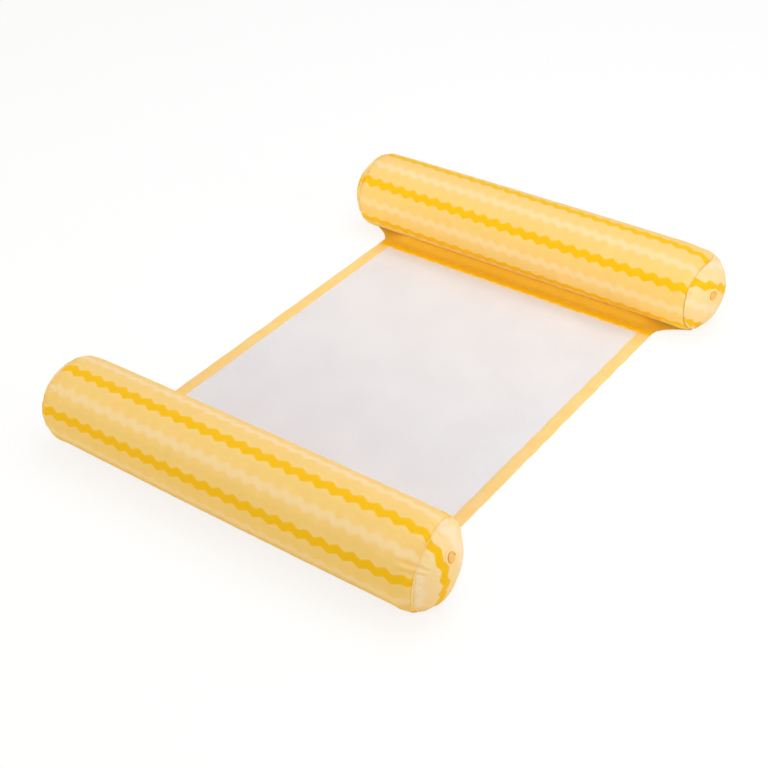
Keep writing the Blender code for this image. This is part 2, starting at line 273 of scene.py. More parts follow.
# %% Floor, world and lamps
PLAIN_WHITE = (1, 1, 1, 1)
FLOOR_SIZE = 14.0
FLOOR_GLOW = 0.80
FLOOR_SHADE = 0.21
FLOOR_FADES = (2.0, 5.5)
FLOOR_BOUNCE = (0.90, 0.87, 0.72, 1)
WORLD_LIGHT = 0.60
WORLD_TINT = (1.0, 0.985, 0.91, 1)
WARM_WHITE = (1.0, 0.92, 0.60)
COOL_WHITE = (0.95, 0.975, 1.16)


def mesh_from(name, bm):
    """A mesh of all that a bmesh holds. The bmesh is done with then."""
    mesh = bpy.data.meshes.new(name)
    bm.to_mesh(mesh)
    bm.free()
    return mesh


def make_floor():
    bm = bmesh.new()
    bmesh.ops.create_grid(bm, x_segments=1, y_segments=1, size=FLOOR_SIZE / 2)
    floor = into_scene("floor", mesh_from("floor", bm))
    white = Finish("white_floor", roughness=0.9)
    white.set(Base_Color=FLOOR_BOUNCE, Specular_IOR_Level=0.0)
    dim = white.node("BsdfDiffuse", {}, {"Color": (FLOOR_SHADE, FLOOR_SHADE, FLOOR_SHADE, 1)})
    glow = white.node("Emission", {}, {"Color": PLAIN_WHITE, "Strength": FLOOR_GLOW})
    near = white.node("AddShader", {}, {0: dim, 1: glow})
    backdrop = white.node("Emission", {}, {"Color": PLAIN_WHITE, "Strength": 1.0})
    x, y, _ = white.parts(white.place())
    fades_from, gone_at = FLOOR_FADES
    far = (x * x + y * y).rise(fades_from**2, gone_at**2)
    seen = white.node("MixShader", {}, {0: far, 1: near, 2: backdrop})
    rays = white.tree.nodes.new("ShaderNodeLightPath")
    direct = Number(white, rays.outputs["Is Camera Ray"])
    both = white.node("MixShader", {}, {0: direct, 1: Number(white, white.shader.outputs[0]), 2: seen})
    white.plug(both, white.tree.nodes["Material Output"].inputs["Surface"])
    floor.data.materials.append(white.material)


def make_world():
    world = bpy.data.worlds.new("bright_room")
    bpy.context.scene.world = world
    world.use_nodes = True
    tree = world.node_tree
    light = tree.nodes["Background"]
    light.inputs["Color"].default_value = WORLD_TINT
    light.inputs["Strength"].default_value = WORLD_LIGHT
    white = tree.nodes.new("ShaderNodeBackground")
    white.inputs["Color"].default_value = PLAIN_WHITE
    rays = tree.nodes.new("ShaderNodeLightPath")
    either = tree.nodes.new("ShaderNodeMath")
    either.operation = "MAXIMUM"
    mix = tree.nodes.new("ShaderNodeMixShader")
    tree.links.new(rays.outputs["Is Camera Ray"], either.inputs[0])
    tree.links.new(rays.outputs["Is Glossy Ray"], either.inputs[1])
    tree.links.new(either.outputs[0], mix.inputs[0])
    tree.links.new(light.outputs[0], mix.inputs[1])
    tree.links.new(white.outputs[0], mix.inputs[2])
    tree.links.new(mix.outputs[0], tree.nodes["World Output"].inputs["Surface"])


def make_lamp(name, place, power, size, aim=(0, 0, 0), spread=180, tint=(1, 1, 1)):
    """A soft box of a width and height that faces a point. Spread is how far its light fans out."""
    data = bpy.data.lights.new(name, "AREA")
    data.energy = power
    data.shape = "RECTANGLE"
    data.size, data.size_y = size
    data.spread = math.radians(spread)
    data.color = tint
    lamp = into_scene(name, data)
    lamp.location = place
    lamp.rotation_euler = (Vector(aim) - Vector(place)).to_track_quat("-Z", "Y").to_euler()
    lamp.visible_camera = False


make_floor()
make_world()
make_lamp("soft_box_above", (0.2, 0.6, 3.2), power=38.5, size=(2.6, 2.6), tint=COOL_WHITE)
make_lamp("soft_box_right", (2.9, 0.4, 1.5), power=23, size=(1.8, 1.8))
make_lamp("soft_box_front", (-1.3, -3.0, 1.1), power=18, size=(1.8, 1.8), tint=WARM_WHITE)
make_lamp(
    "soft_box_fill", (0.0, -0.50, 0.36), power=0.26, size=(1.2, 0.2),
    aim=(0, 0.42, 0.02), spread=36, tint=WARM_WHITE,
)
bpy.context.scene.view_settings.view_transform = "Standard"
print("room made")

# %% [markdown]
# ## The printed cloth
# The print is a zigzag that runs the length of each bolster, in mustard and, half way between, in a
# pale cream. A ramp that repeats gives the zigzag: it climbs a long flank and falls down a shorter one
# for ever, so no band needs its own nodes. It is laid out on a UV map in real metres, because the
# pattern follows the cloth round the bolster, over the end caps and over the fold of the seat. The tube
# wears the plain print. The right end panels wear a paler copy of it, and the paleness is painted light:
# the bright light on those ends. The strips of the seat wear a more saturated orange copy, and that is
# painted light too: the warm bounce light in the nook under the bolsters.

# %% Printed cloth
ZIGZAG_LENGTH = 0.0314
ZIGZAG_HEIGHT = 0.0070
LONG_FLANK = 0.54
BAND_WIDTH = 0.0172
BAND_EDGE = 0.0012
BAND_PITCH = 0.0935
CREAM_WIDTH = 0.0150
CREAM_EDGE = 0.0055
OLIVE_WIDTH = 0.011
OLIVE_EDGE = 0.0050
OLIVE_AT = 0.22
WEAVE_PITCH = 0.0011
CLOUD_SCALE = 22
FADE_SCALE = 60
CREASE_SCALE = 48
CLOTH_RELIEF = 0.0016
MUSTARD = colour(251, 195, 0)
WEAVE_SHADE = colour(232, 176, 70)


def weave(along, across, pitch):
    """A plain weave: two crossed sets of rounded threads, as a height from 0 to 1."""
    warp = (along * (math.pi / pitch)).maths("SINE")
    weft = (across * (math.pi / pitch)).maths("SINE")
    return (warp * weft) * 0.5 + 0.5


def printed_cloth(name, warm, cool, shade, pale):
    """The print on its ground. Warm and cool are the ground's clouds, shade and pale its soft bands."""
    cloth = Finish(name, roughness=0.72, Sheen_Weight=0.05, Specular_IOR_Level=0.16)
    flat = cloth.cloth_map()
    along, across, _ = cloth.parts(flat)
    phase = (along / ZIGZAG_LENGTH).maths("FRACT")
    climb = (phase / LONG_FLANK).maths("MINIMUM", (1 - phase) / (1 - LONG_FLANK))
    bend = climb * 0.6 + climb.rise(0, 1) * 0.4
    lift = (0.5 - bend) * ZIGZAG_HEIGHT
    from_band = (across - lift).fold(BAND_PITCH / 2)
    mustard = from_band.stripe(BAND_WIDTH, BAND_EDGE)
    cream = (BAND_PITCH / 2 - from_band).stripe(CREAM_WIDTH, CREAM_EDGE)
    olive = (from_band - BAND_PITCH * OLIVE_AT).stripe(OLIVE_WIDTH, OLIVE_EDGE)
    cloudy = cloth.noise(flat, CLOUD_SCALE, detail=3.0).rise(0.32, 0.70)
    faded = cloth.noise(flat, FADE_SCALE)
    ground = cloth.mix(cloudy * 0.60, warm, cool)
    ground = cloth.mix(olive * 0.35, ground, shade)
    ground = cloth.mix(cream * (0.48 + faded * 0.40), ground, pale)
    inked = cloth.mix(mustard, ground, MUSTARD)
    threads = weave(along, across, WEAVE_PITCH)
    cloth.set(Base_Color=cloth.mix((1 - threads) * 0.07, inked, WEAVE_SHADE))
    creases = cloth.noise(flat, CREASE_SCALE, detail=4.0)
    cloth.set(Roughness=0.66 + threads * 0.12)
    cloth.relief(threads * 0.16 + creases * 0.84, CLOTH_RELIEF)
    return cloth


PRINT_TONES_WITH_PAINTED_LIGHT = {
    "printed_cloth": ((254, 214, 134), (251, 209, 122), (243, 210, 122), (254, 227, 180)),
    # A paler copy of the print for the right end panels: painted light, the bright light on those ends.
    "printed_cloth_painted_light_ends": ((255, 223, 166), (254, 218, 156), (252, 222, 160), (255, 232, 200)),
    # A more saturated orange copy for the seat's strips: painted light, the warm bounce light in the nook
    # under the bolsters.
    "printed_cloth_painted_nook_bounce": ((255, 212, 76), (254, 204, 60), (252, 202, 50), (255, 218, 96)),
}
# The plain print, then two copies whose tones are painted light.
print_finish, painted_light_end_finish, painted_bounce_strip_finish = (
    printed_cloth(name, *(colour(*tone) for tone in tones)) for name, tones in PRINT_TONES_WITH_PAINTED_LIGHT.items()
)
print("three batches of printed cloth, a band every", BAND_PITCH, "m")

# %% [markdown]
# ## Piping, tape, net, thread and vinyl
# Each of the other finishes has one idea: the piping is cloth cut on the slant, the tape has ribs across
# it, and the net is two sets of slanting threads with little between them: its holes are a low Alpha,
# because at this distance the real net looks like a pale veil. The moulded valve is smooth with a faint
# bloom, and the film inside is glossy.

# %% Piping's cloth
PIPING_WARP = (900, 640, 640)


def piping_cloth():
    cloth = Finish("piping_cloth", roughness=0.7, Sheen_Weight=0.1, Specular_IOR_Level=0.3)
    spot = cloth.place()
    x, y, z = cloth.parts(spot)
    slanted = (x * PIPING_WARP[0] + y * PIPING_WARP[1] + z * PIPING_WARP[2]).wave()
    shade = cloth.noise(spot, scale=60)
    pale = cloth.mix(shade, colour(255, 226, 158), colour(254, 218, 144))
    cloth.set(Base_Color=cloth.mix(slanted * 0.15, pale, colour(244, 200, 112)))
    cloth.set(Roughness=0.64 + shade * 0.14)
    cloth.relief(slanted, distance=0.00012)
    return cloth


# %% Woven tape
TAPE_RIBS = 2600
TAPE_THREADS = 5200


def woven_tape():
    tape = Finish("woven_tape", roughness=0.7, Sheen_Weight=0.1, Specular_IOR_Level=0.3)
    flat = tape.cloth_map()
    across, along, _ = tape.parts(flat)
    ribs = (along * TAPE_RIBS).wave()
    ends = (across * TAPE_THREADS).wave()
    patchy = tape.noise(flat, scale=34, detail=3.0)
    ground = tape.mix(patchy.rise(0.35, 0.7), colour(252, 209, 127), colour(250, 215, 141))
    tape.set(Base_Color=tape.mix(ribs * ends * 0.20, ground, colour(240, 184, 84)))
    tape.set(Roughness=0.62 + patchy * 0.16)
    tape.relief(ribs * 0.5 + ends * 0.1 + patchy * 0.4, distance=0.0004)
    return tape


# %% Net
NET_PITCH = 0.0021
NET_THREAD = 0.34
THREAD_EDGE = 0.10
HOLE_ALPHA = 0.38


def seat_net():
    net = Finish("seat_net", roughness=0.68, Specular_IOR_Level=0.25)
    flat = net.cloth_map()
    x, y, _ = net.parts(flat)
    one = ((x + y) / NET_PITCH).fold(0.5)
    other = ((x - y) / NET_PITCH).fold(0.5)
    near = one.maths("MINIMUM", other)
    thread = 1 - near.rise(NET_THREAD * 0.5, NET_THREAD * 0.5 + THREAD_EDGE)
    patchy = net.noise(flat, scale=9, detail=3.0)
    pale = net.mix(patchy.rise(0.3, 0.75), colour(243, 239, 242), colour(248, 245, 247))
    net.set(Base_Color=net.mix(near * 0.3, pale, colour(222, 214, 220)))
    net.set(Roughness=0.62 + patchy * 0.15)
    net.set(Alpha=thread * (1 - HOLE_ALPHA) + HOLE_ALPHA)
    net.relief(thread, distance=0.00015)
    return net


# %% Thread
THREAD_TWIST = 5200


def sewing_thread(name, light, dark):
    thread = Finish(name, roughness=0.55, Specular_IOR_Level=0.4)
    spot = thread.place()
    x, y, z = thread.parts(spot)
    twist = ((x + y + z) * THREAD_TWIST).wave()
    thread.set(Base_Color=thread.mix(twist, light, dark))
    thread.set(Roughness=0.5 + twist * 0.2)
    thread.relief(twist, distance=0.00006)
    return thread


# %% Moulded vinyl and film
def moulded_vinyl(name, light, deep, roughness):
    vinyl = Finish(name, roughness=roughness, Specular_IOR_Level=0.45)
    spot = vinyl.place()
    bloom = vinyl.noise(spot, scale=140, detail=3.0)
    grain = vinyl.noise(spot, scale=1400)
    vinyl.set(Base_Color=vinyl.mix(bloom.rise(0.3, 0.7), light, deep))
    vinyl.set(Roughness=roughness - 0.06 + bloom * 0.14)
    vinyl.relief(grain, distance=0.00004)
    return vinyl


piping_finish = piping_cloth()
tape_finish = woven_tape()
net_finish = seat_net()
thread_finish = sewing_thread("sewing_thread", colour(255, 224, 154), colour(246, 196, 104))
# Darker than the cloth: painted shade, for the shadow line along the rear seams.
seam_shadow_thread_finish = sewing_thread("thread_painted_seam_shadow", colour(216, 182, 98), colour(198, 162, 78))
valve_finish = moulded_vinyl("valve_vinyl", colour(248, 194, 108), colour(242, 182, 94), 0.42)
strap_finish = moulded_vinyl("strap_vinyl", colour(176, 140, 60), colour(150, 116, 44), 0.45)
film_finish = moulded_vinyl("bladder_film", colour(226, 230, 236), colour(214, 220, 228), 0.20)
print(len(bpy.data.materials), "materials, those of the frame included")

# %% [markdown]
# ## Small helpers for meshes
# A piece starts as a bmesh, which is Blender's mesh on the workbench: operators shape it there, and it
# becomes an object once it is finished. Its place stays in its vertices, so the object itself is at
# the origin, unturned.

# %% Mesh helpers
dressed = {}


def finish_piece(name, bm, finish, node_names):
    """Puts a finished bmesh into the scene as a smooth piece that stands for some CAD nodes."""
    mesh = mesh_from(name, bm)
    mesh.materials.append(finish.material)
    mesh.shade_smooth()
    piece = into_scene(name, mesh)
    if node_names:
        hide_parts(*node_names)
    dressed[name] = piece
    return piece


def lay_in_order(bm):
    """Lays the edges and faces again in the order of their vertices. Spin gives them another order on
    each run, and Cloth comes out a little differently when the order changes."""
    bm.verts.index_update()
    corners = []
    for face in bm.faces:
        numbers = [vert.index for vert in face.verts]
        first = numbers.index(min(numbers))
        corners.append(numbers[first:] + numbers[:first])
    for edge in list(bm.edges):
        bm.edges.remove(edge)
    bm.verts.ensure_lookup_table()
    for numbers in sorted(corners):
        bm.faces.new([bm.verts[number] for number in numbers])
    bm.normal_update()


def spin_round(bm, line, centre, axis, steps):
    """Joins a line of vertices and turns it all the way round an axis."""
    edges = [bm.edges.new(pair) for pair in zip(line, line[1:])]
    bmesh.ops.spin(
        bm, geom=line + edges, cent=centre, axis=axis, angle=2 * math.pi, steps=steps, use_merge=True
    )
    bmesh.ops.remove_doubles(bm, verts=bm.verts, dist=1e-6)
    bmesh.ops.recalc_face_normals(bm, faces=bm.faces)
    lay_in_order(bm)


def map_cloth(bm, flatten):
    """Writes the cloth's UV map. flatten gives a loop's place on the flat cloth, in metres."""
    layer = bm.loops.layers.uv.new(MAP_NAME)
    for face in bm.faces:
        middle = face.calc_center_median()
        for loop in face.loops:
            loop[layer].uv = flatten(loop.vert.co, middle)


def thicken(bm, thickness):
    """Gives an open skin a wall on its inner side."""
    bmesh.ops.solidify(bm, geom=bm.faces[:], thickness=thickness)


print("mesh helpers ready")

# %% [markdown]
# ## The bolsters' skin
# On the real float a flat tube of cloth is sewn to two round end panels, and air does the rest. It
# could be modelled as a bare cylinder with rounded ends, but then nothing says that it is sewn. So the
# skin is turned as one closed shape, whose rings lie close together near the seams, and Blender's
# Cloth blows it up a little while the seam's thread stays too short for it. The cloth beside the
# thread has nowhere to go and puckers, as it does on the real one.

# %% The skin's outline, from the middle of an end cap to the middle of the bolster
# One row for each end: the seam's distance from the pole, by how much the seam runs askew and the way
# that it faces in degrees, how far the end sinks at the top and spreads below, and how the print on
# the cap is turned in degrees and shifted.
End = namedtuple("End", "seam askew faces drop spread print_turn print_shift")
ENDS = {
    ("front", "right"): End(0.0952, 0.0176, -25, 0.0055, 0.0072, 90.0, (0.0065, 0.0194)),
    ("front", "left"): End(0.0985, 0.0030, 60, 0.0035, 0.0034, 70.0, (0.0, 0.012)),
    ("rear", "right"): End(0.0928, 0.0085, 219, 0.0088, 0.0034, -30.3, (-0.0136, 0.0172)),
    ("rear", "left"): End(0.0985, 0.0030, 100, 0.0035, 0.0034, 100.0, (0.01, -0.0318)),
}
SEAM_BULGE = {("rear", "right"): (0.016, math.radians(45), math.radians(22))}
SLANT_REACH = 0.032
MOST_LEAN = 0.35
AROUND = 192


def half_outline():
    """Points (x, radius) of the skin from the end's pole to the bolster's middle."""
    rim = math.asin(RIM_RADIUS / DOME_RADIUS)
    points = []
    for i in range(60):
        angle = rim * i / 60
        points.append((DOME_CENTRE + DOME_RADIUS * math.cos(angle), DOME_RADIUS * math.sin(angle)))
    for i in range(40):
        angle = math.pi / 2 * i / 40
        points.append((
            SEAM_PLANE - SHOULDER * (1 - math.cos(angle)),
            RIM_RADIUS + (RADIUS - RIM_RADIUS) * math.sin(angle),
        ))
    straight = SEAM_PLANE - SHOULDER
    for i in range(61):
        x = straight * (1 - i / 60)
        points.append((x, RADIUS * (1 + SWELL * (1 - (x / straight) ** 2))))
    return np.array(points)


outline = half_outline()
steps_along = np.hypot(*np.diff(outline, axis=0).T)
outline_length = np.concatenate([[0], np.cumsum(steps_along)])
HALF_LENGTH = outline_length[-1]


def outline_point(distance):
    """(x, radius) at a distance from the right end's pole, on to the left end's pole."""
    left = distance > HALF_LENGTH
    within = 2 * HALF_LENGTH - distance if left else distance
    x = float(np.interp(within, outline_length, outline[:, 0]))
    radius = float(np.interp(within, outline_length, outline[:, 1]))
    return (-x if left else x), radius


def angle_round(side, point):
    """A point's angle round its bolster, 0 towards the rear and a quarter turn upwards."""
    return math.atan2(point.z - AXIS_Z, point.y - SIDES[side] * AXIS_Y)


def slant_of(side, hand, angle):
    """How much further from the pole a seam lies at an angle round the bolster."""
    end = ENDS[side, hand]
    lean = math.cos(angle - math.radians(end.faces))
    slant = end.askew * (lean if lean < 0 else MOST_LEAN * (1 - math.exp(-lean / MOST_LEAN)))
    bulge, centre, width = SEAM_BULGE.get((side, hand), (0, 0, 1))
    away = (angle - centre + math.pi) % (2 * math.pi) - math.pi
    return slant + bulge * math.exp(-((away / width) ** 2))


print(f"half outline {HALF_LENGTH:.4f} m, front right seam {ENDS['front', 'right'].seam} m from its pole")

# %% Rings of the skin
CAP_STEP = 0.0033
SEAM_STEP = 0.0030
SEAM_ZONE = 0.051
MIDDLE_STEP = 0.0095


def half_rings(side, hand):
    """Distances of the rings from an end's pole to the middle, closest together near the seam."""
    seam = ENDS[side, hand].seam
    cap = np.linspace(0, seam, round(seam / CAP_STEP) + 1)
    zone = np.linspace(seam, seam + SEAM_ZONE, round(SEAM_ZONE / SEAM_STEP) + 1)[1:]
    rest = HALF_LENGTH - seam - SEAM_ZONE
    middle = np.linspace(seam + SEAM_ZONE, HALF_LENGTH, round(rest / MIDDLE_STEP) + 1)[1:]
    return np.concatenate([cap, zone, middle]), len(cap) - 1


def skin_rings(side):
    """All ring distances from the right pole to the left one, and the two seams' ring numbers."""
    right, right_seam = half_rings(side, "right")
    left, left_seam = half_rings(side, "left")
    rings = np.concatenate([right, 2 * HALF_LENGTH - left[-2::-1]])
    return rings, right_seam, len(rings) - 1 - left_seam


def turned_skin(side):
    """The skin as turned, with each vertex's ring number kept in a layer."""
    rings, right_seam, left_seam = skin_rings(side)
    axis_y = SIDES[side] * AXIS_Y
    bm = bmesh.new()
    ring_of = bm.verts.layers.int.new("ring")
    line = []
    for number, distance in enumerate(rings):
        x, radius = outline_point(distance)
        vert = bm.verts.new((x, axis_y, AXIS_Z - radius))
        vert[ring_of] = number
        line.append(vert)
    spin_round(bm, line, (0, axis_y, AXIS_Z), (1, 0, 0), AROUND)
    for vert in bm.verts:
        distance = rings[vert[ring_of]]
        hand = "left" if distance > HALF_LENGTH else "right"
        seam = rings[left_seam if hand == "left" else right_seam]
        angle = angle_round(side, vert.co)
        slant = slant_of(side, hand, angle) * math.exp(-(((distance - seam) / SLANT_REACH) ** 2))
        x, radius = outline_point(distance + slant if hand == "right" else distance - slant)
        if 0 < vert[ring_of] < len(rings) - 1:
            vert.co = (x, axis_y + radius * math.cos(angle), AXIS_Z + radius * math.sin(angle))
        settle(vert, side, hand)
    return bm, rings, right_seam, left_seam


def clamped(value):
    """A value kept between 0 and 1."""
    return min(1, max(0, value))


def share_between(value, low, high):
    """A smooth share from 0 at low to 1 at high."""
    share = clamped((value - low) / (high - low))
    return share * share * (3 - 2 * share)


RIM_HEIGHTS = (0.40, 0.75)
TOP_SINKS = (0.335, 0.43)
FOOT_SPREADS = (0.395, 0.42)


def settle(vert, side, hand):
    """A bolster that lies on the floor has ends that sink a little at the top and fill out below."""
    height = (vert.co.z - AXIS_Z) / RADIUS
    reach = abs(vert.co.x)
    rim = share_between(abs(height), *RIM_HEIGHTS)
    if height > 0:
        vert.co.z -= ENDS[side, hand].drop * rim * share_between(reach, *TOP_SINKS)
    else:
        vert.co.x += HANDS[hand] * ENDS[side, hand].spread * rim * share_between(reach, *FOOT_SPREADS)


print("rings from each pole to the middle:", [len(half_rings(*end)[0]) for end in ENDS])

# %% Air pressure
PUCKER_WAVES = range(18, 50, 3)
PUCKER_GUSTS = (2, 3, 5)
LEAST_PUCKER = 0.12
PUCKER_SIZE = 0.0013
PUCKER_REACH = 0.010
SEAM_SINK = 0.0007
FREE_RADIUS = 0.050
MOST_MOVE = 0.003
KEPT_SIZE = 0.75
AIR = {
    "quality": 7,
    "mass": 0.004,
    "tension_stiffness": 18,
    "compression_stiffness": 18,
    "shear_stiffness": 6,
    "bending_stiffness": 0.02,
    "air_damping": 2,
    "use_pressure": True,
    "uniform_pressure_force": 4,
    "shrink_max": 0.035,
}


def pucker_pattern(generator):
    """Seeded unevenness round a seam: a few short waves that come and go."""
    waves = []
    for count in PUCKER_WAVES:
        waves.append((count, generator.uniform(0, 2 * math.pi), generator.uniform(0.4, 1.0)))
    gusts = [(n, generator.uniform(0, 2 * math.pi)) for n in PUCKER_GUSTS]

    def height(angle):
        wave = sum(size * math.cos(count * angle + start) for count, start, size in waves)
        gust = 0.55 + 0.25 * sum(math.cos(n * angle + start) for n, start in gusts)
        return wave / 3.2 * max(LEAST_PUCKER, gust)

    return height


def start_shape(bm, side, rings, seams, generator):
    """The skin as the pressure finds it: the cloth next to each seam already stands in small waves."""
    ring_of = bm.verts.layers.int["ring"]
    patterns = {seam: pucker_pattern(generator) for seam in seams}
    for vert in bm.verts:
        number = vert[ring_of]
        seam = min(seams, key=lambda ring: abs(rings[ring] - rings[number]))
        away = abs(rings[number] - rings[seam])
        if away > 6 * PUCKER_REACH:
            continue
        share = (away / PUCKER_REACH) * math.exp(1 - away / PUCKER_REACH)
        outward = vert.normal
        vert.co += outward * (PUCKER_SIZE * share * (0.9 + patterns[seam](angle_round(side, vert.co))))
        if number == seam:
            vert.co -= outward * SEAM_SINK


def inflate(skin, grip, tight):
    """Runs Cloth on a skin for twenty frames and keeps the result."""
    cloth = skin.modifiers.new("Air", "CLOTH")
    for name, value in AIR.items():
        setattr(cloth.settings, name, value)
    cloth.settings.effector_weights.gravity = 0
    cloth.settings.vertex_group_mass = grip
    cloth.settings.vertex_group_shrink = tight
    cloth.collision_settings.use_collision = False
    for number in range(1, 21):
        bpy.context.scene.frame_set(number)
    seen = skin.evaluated_get(bpy.context.evaluated_depsgraph_get())
    moved = np.empty(len(skin.data.vertices) * 3, np.float32)
    seen.data.vertices.foreach_get("co", moved)
    skin.modifiers.clear()
    bpy.context.scene.frame_set(1)
    return moved.reshape(-1, 3)


def blown_up(bm, side, rings, seams):
    """Moves the skin's vertices to where twenty frames of air pressure put them."""
    mesh = bpy.data.meshes.new("skin")
    bm.to_mesh(mesh)
    skin = into_scene("skin", mesh)
    ring_of = bm.verts.layers.int["ring"]
    axis = Vector((0, SIDES[side] * AXIS_Y, AXIS_Z))
    held, seamed = [], []
    for vert in bm.verts:
        radius = (vert.co - axis).yz.length
        if radius < FREE_RADIUS or abs(vert.co.x) < MIDDLE_STEP:
            held.append(vert.index)
        if min(abs(vert[ring_of] - seam) for seam in seams) == 0:
            seamed.append(vert.index)
    skin.vertex_groups.new(name="grip").add(held, 1, "REPLACE")
    skin.vertex_groups.new(name="tight").add(seamed, 1, "REPLACE")
    moved = inflate(skin, "grip", "tight")
    bpy.data.objects.remove(skin)
    bpy.data.meshes.remove(mesh)
    steps = [Vector(place.tolist()) - vert.co for vert, place in zip(bm.verts, moved)]
    growth = {number: [] for number in range(len(rings))}
    for vert, step in zip(bm.verts, steps):
        growth[vert[ring_of]].append(step.dot(vert.normal))
    mean = {number: sum(found) / len(found) for number, found in growth.items() if found}
    furthest = max(step.length for step in steps)
    for vert, step in zip(bm.verts, steps):
        step -= vert.normal * mean[vert[ring_of]] * KEPT_SIZE
        if step.length > MOST_MOVE:
            step *= MOST_MOVE / step.length
        vert.co += step
    print(f"{side} skin: air moved it up to {furthest * 1000:.2f} mm")


# %% Turn, pucker and blow up both skins
def make_skin(side):
    bm, rings, right_seam, left_seam = turned_skin(side)
    bm.normal_update()
    bm.verts.index_update()
    seams = (right_seam, left_seam)
    start_shape(bm, side, rings, seams, random.Random(SIDES[side] + 5))
    blown_up(bm, side, rings, seams)
    for vert in bm.verts:
        vert.co.z = max(vert.co.z, 0.0)
    bm.normal_update()
    return bm, rings, right_seam, left_seam


skins = {side: make_skin(side) for side in SIDES}
for side, (bm, rings, _, _) in skins.items():
    print(side, "skin:", len(bm.verts), "vertices in", len(rings), "rings")

# %% [markdown]
# ## Where the print lies on the skin
# The tube is mapped by its length and the way round it, and the caps by the distance from their middle,
# as a round of cloth lies before it is sewn. Each cap was cut from the cloth at its own angle, and on
# the front right one the print is stretched beyond its band, because the photograph shows no next one.

# %% Laying the print on the tube and the caps
BAND_ANGLE = {"front": (163.0, 62.0), "rear": (145.7, 63.8)}
CREST_X = {"front": 0.0116, "rear": -0.0005}
TWIST = {"front": 0.0, "rear": 0.02}
CAP_EASED = {("front", "right"): 0.35}
EASE_FROM = -0.045


def degrees_round(side, point):
    """A point's angle round its bolster in degrees, from -90 to 270."""
    return (math.degrees(angle_round(side, point)) + 90) % 360 - 90


def cloth_reach(x):
    """How far along the cloth a point of the tube lies from the bolster's middle."""
    if abs(x) < SEAM_PLANE - SHOULDER:
        return x
    from_pole = float(np.interp(abs(x), outline[::-1, 0], outline_length[::-1]))
    return math.copysign(HALF_LENGTH - from_pole, x)


def tube_map(side):
    band, spacing = BAND_ANGLE[side]

    def flatten(point, middle):
        centre = degrees_round(side, middle)
        turn = (degrees_round(side, point) - centre + 180) % 360 - 180
        across = (centre + turn - band) / spacing * BAND_PITCH - TWIST[side] * point.x
        return cloth_reach(point.x) - CREST_X[side], across

    return flatten


def cap_map(side, hand):
    axis_y = SIDES[side] * AXIS_Y
    eased = CAP_EASED.get((side, hand), 1)
    turn = math.radians(ENDS[side, hand].print_turn)
    shift_along, shift_across = ENDS[side, hand].print_shift

    def flatten(point, _):
        y, z = point.y - axis_y, point.z - AXIS_Z
        radius = math.hypot(y, z)
        spread = DOME_RADIUS * math.asin(min(radius / DOME_RADIUS, 1)) / max(radius, 1e-6)
        along = (y * math.cos(turn) + z * math.sin(turn)) * spread
        across = (z * math.cos(turn) - y * math.sin(turn)) * spread - shift_across
        if across < EASE_FROM:
            across = EASE_FROM + (across - EASE_FROM) * eased
        return along - shift_along, across

    return flatten


# %% [markdown]
# ## The valve's place
# The valve sits square to the domed cap. The frame gives its axis: the nozzle slides along it. The
# rest of the valve's own axes follow, and every turned part of it is made upright and then laid there.

# %% Valve frames
joints = {joint["name"]: joint for joint in frame["joints"]}


def valve_frame(side):
    """The matrix from a valve's own axes, with Z out of the cap, to the model's."""
    out = Vector(joints[f"{side}_nozzle_push"]["axis"]).normalized()
    centre = Vector((DOME_CENTRE, SIDES[side] * AXIS_Y, AXIS_Z))
    across = Vector((0, -out.z, out.y)).normalized()
    up = out.cross(across).normalized()
    if up.x > 0:
        up.negate()
    axes = Matrix((up, out.cross(up), out)).transposed().to_4x4()
    return Matrix.Translation(centre + out * DOME_RADIUS) @ axes


valve_at = {side: valve_frame(side) for side in SIDES}
for side in SIDES:
    print(side, "valve at", [round(v, 4) for v in valve_at[side].translation])

# %% Cut the skins into a tube and two caps
CLOTH = 0.0006
HOLE_RADIUS = 0.0117
HOLE_STEPS = 72
VALVE_ZONE = 0.03
# The right end panels take the paler copy of the print, which is painted light.
CAP_FINISH = {"right": painted_light_end_finish, "left": print_finish}


def part_of_skin(bm, keep):
    """A copy of the skin with only the faces whose rings keep says."""
    part = bm.copy()
    ring_of = part.verts.layers.int["ring"]
    gone = [face for face in part.faces if not keep([vert[ring_of] for vert in face.verts])]
    bmesh.ops.delete(part, geom=gone, context="FACES")
    return part


def cut_valve_hole(skin, side, radius, depth, margin):
    """Opens a round hole for the valve, its edge at a depth below the cloth."""
    inward = valve_at[side].inverted()

    def beside_valve(point, reach):
        flat = inward @ point
        return flat.xy.length < reach and abs(flat.z) < VALVE_ZONE

    near = [face for face in skin.faces if beside_valve(face.calc_center_median(), radius + margin)]
    bmesh.ops.delete(skin, geom=near, context="FACES")
    open_edges = [edge for edge in skin.edges if edge.is_boundary]
    ragged = [edge for edge in open_edges if beside_valve(edge.verts[0].co, radius * 2.5)]
    place = valve_at[side] @ Matrix.Translation((0, 0, -depth))
    ring = bmesh.ops.create_circle(skin, cap_ends=False, segments=HOLE_STEPS, radius=radius, matrix=place)
    edges = {edge for vert in ring["verts"] for edge in vert.link_edges}
    bmesh.ops.bridge_loops(skin, edges=ragged + list(edges))
    bmesh.ops.recalc_face_normals(skin, faces=skin.faces)


